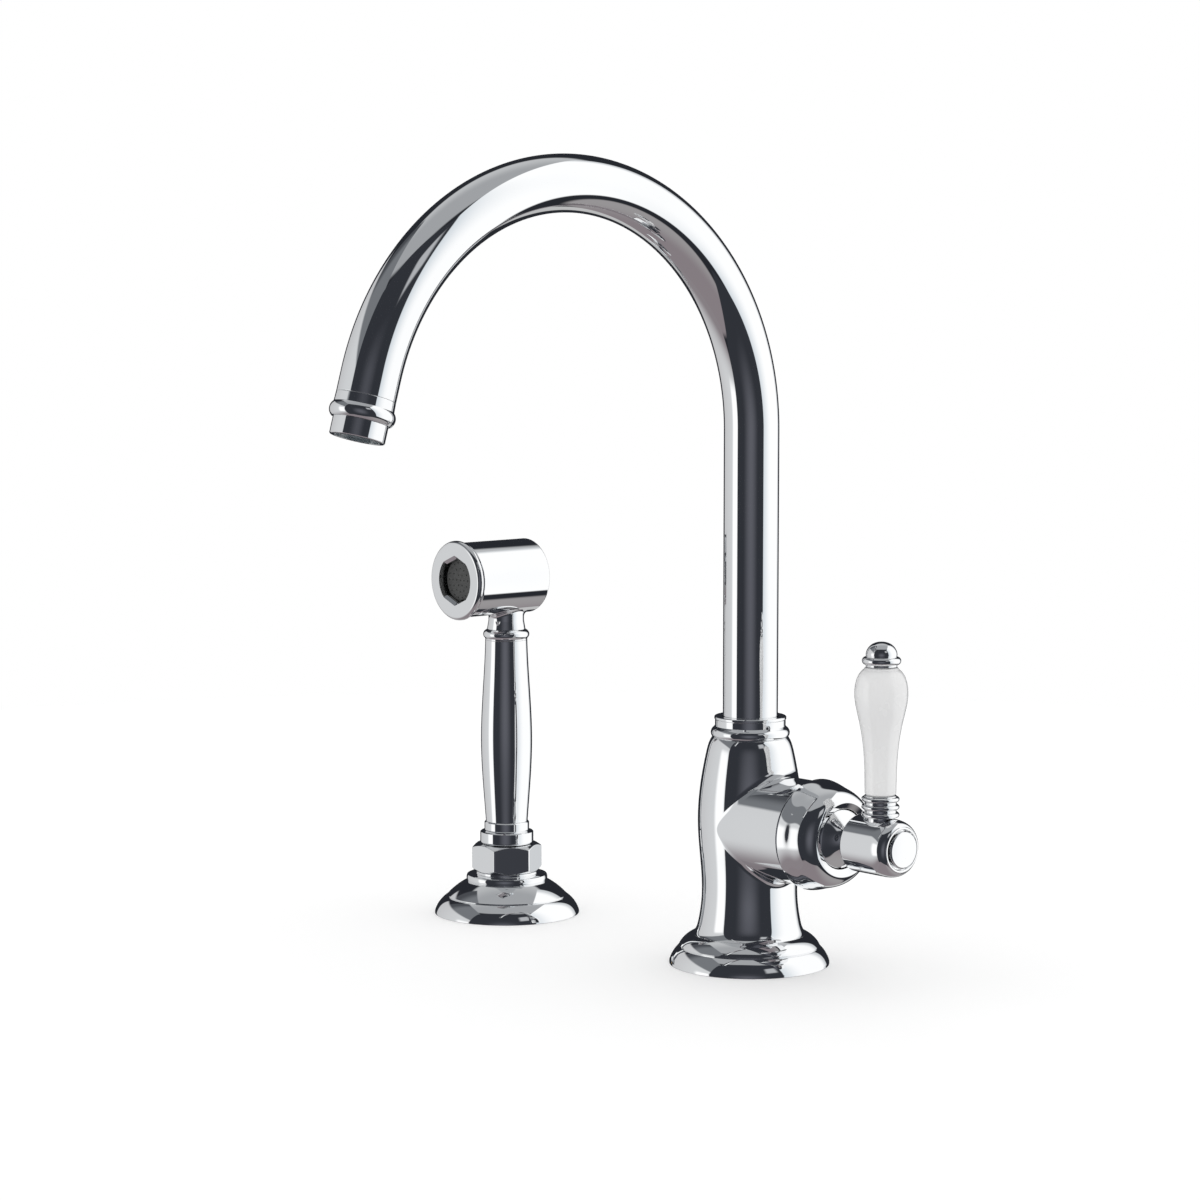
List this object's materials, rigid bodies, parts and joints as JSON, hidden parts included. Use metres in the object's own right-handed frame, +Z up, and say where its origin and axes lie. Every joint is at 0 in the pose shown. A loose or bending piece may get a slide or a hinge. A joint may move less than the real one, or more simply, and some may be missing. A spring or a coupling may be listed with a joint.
{
  "type": "side spray kitchen faucet",
  "caption": "Traditional deck-mounted kitchen mixer faucet with a swivelling gooseneck spout, a side lever with a porcelain grip, and a separate hand spray in a deck holder.",
  "frame": {"origin": "on the faucet body's axis at the worktop's upper face, where the base flange rests", "axes": "+Z up; the spout reaches out along -Y; the valve and its lever are on the +X side; the hand spray stands on the -X side"},
  "size_m": [0.2867, 0.2584, 0.4087],
  "materials": {
    "chrome_plate": "polished chrome plate on brass",
    "raw_brass": "machined",
    "stainless": "stainless, as turned",
    "black_rubber": "matt",
    "moulded_plastic": "moulded",
    "lapped_ceramic": "lapped",
    "white_porcelain": "glossy white glaze"
  },
  "bodies": {
    "root": {"base_flange": "chrome_plate", "deck_gaskets": "black_rubber", "mounting_shank": "raw_brass", "clamp_seals": "black_rubber", "clamp_washers": "stainless", "shank_locknut": "raw_brass", "faucet_body": "chrome_plate", "spout_collar": "chrome_plate", "collar_grub_screw": "stainless", "diverter_seat": "raw_brass", "cartridge_housing": "moulded_plastic", "cartridge_seals": "black_rubber", "fixed_disc": "lapped_ceramic", "cartridge_nut": "raw_brass", "valve_cover": "chrome_plate", "spray_flange": "chrome_plate", "holder_tube": "raw_brass", "holder_locknut": "raw_brass", "holder_hex": "chrome_plate", "guide_bush": "moulded_plastic"},
    "spout": {"spout_tube": "chrome_plate", "spout_foot": "raw_brass", "spout_o_rings": "black_rubber", "tip_ferrule": "chrome_plate", "aerator_housing": "chrome_plate", "aerator_gasket": "black_rubber", "aerator_insert": "moulded_plastic"},
    "diverter": {"diverter_plunger": "raw_brass", "diverter_seal": "black_rubber"},
    "mixer": {"cartridge_rotor": "moulded_plastic", "pivot_pin": "stainless"},
    "disc": {"moving_disc": "lapped_ceramic", "disc_carrier": "moulded_plastic"},
    "lever": {"lever_stem": "stainless", "stem_bell": "chrome_plate", "lever_barrel": "chrome_plate", "barrel_grub_screw": "stainless", "end_cap": "chrome_plate", "lever_ferrule": "chrome_plate", "porcelain_handle": "white_porcelain", "handle_washers": "moulded_plastic", "tie_rod": "stainless", "finial": "chrome_plate"},
    "hose_end": {"hose_connector": "raw_brass", "swivel_o_ring": "black_rubber", "swivel_nut": "raw_brass"},
    "spray": {"grip_collar": "chrome_plate", "spray_grip": "chrome_plate", "waterway_tube": "moulded_plastic", "neck_ring": "chrome_plate", "head_shell": "chrome_plate", "face_ring": "chrome_plate", "spray_disc": "black_rubber", "flow_plate": "moulded_plastic", "valve_seat": "raw_brass", "button_spring": "stainless"},
    "button": {"thumb_button": "chrome_plate", "button_o_ring": "black_rubber", "valve_stem": "stainless", "valve_washer": "black_rubber"}
  },
  "joints": [
    {"name": "spout_swivel", "type": "hinge", "parent": "root", "child": "spout", "pos_m": [0, 0, 0.08], "axis": [0, 0, 1], "range_deg": [-140, 140]},
    {"name": "lever_mix", "type": "hinge", "parent": "root", "child": "mixer", "pos_m": [0.044, 0, 0.0624], "axis": [1, 0, 0], "range_deg": [-45, 45]},
    {"name": "lever_open", "type": "hinge", "parent": "mixer", "child": "lever", "pos_m": [0.044, 0, 0.0624], "axis": [0, 1, 0], "range_deg": [0, 22]},
    {"name": "disc_slide", "type": "slide", "parent": "mixer", "child": "disc", "axis": [0, 0, 1], "range_m": [0, 0.0055]},
    {"name": "diverter_lift", "type": "slide", "parent": "root", "child": "diverter", "axis": [0, 0, 1], "range_m": [0, 0.0015]},
    {"name": "spray_lift", "type": "slide", "parent": "root", "child": "hose_end", "axis": [0, 0, 1], "range_m": [0, 0.12]},
    {"name": "spray_turn", "type": "hinge", "parent": "hose_end", "child": "spray", "pos_m": [-0.1585, -0.0075, 0.038], "axis": [0, 0, 1], "continuous": true},
    {"name": "button_press", "type": "slide", "parent": "spray", "child": "button", "axis": [0, -1, 0], "range_m": [0, 0.0024], "stiffness_N_per_m": 400, "springref_m": -0.003, "deforming": ["button_spring"]}
  ],
  "couplings": [
    {"joint": "disc_slide", "follows": "lever_open", "m_per_rad": 0.014}
  ]
}
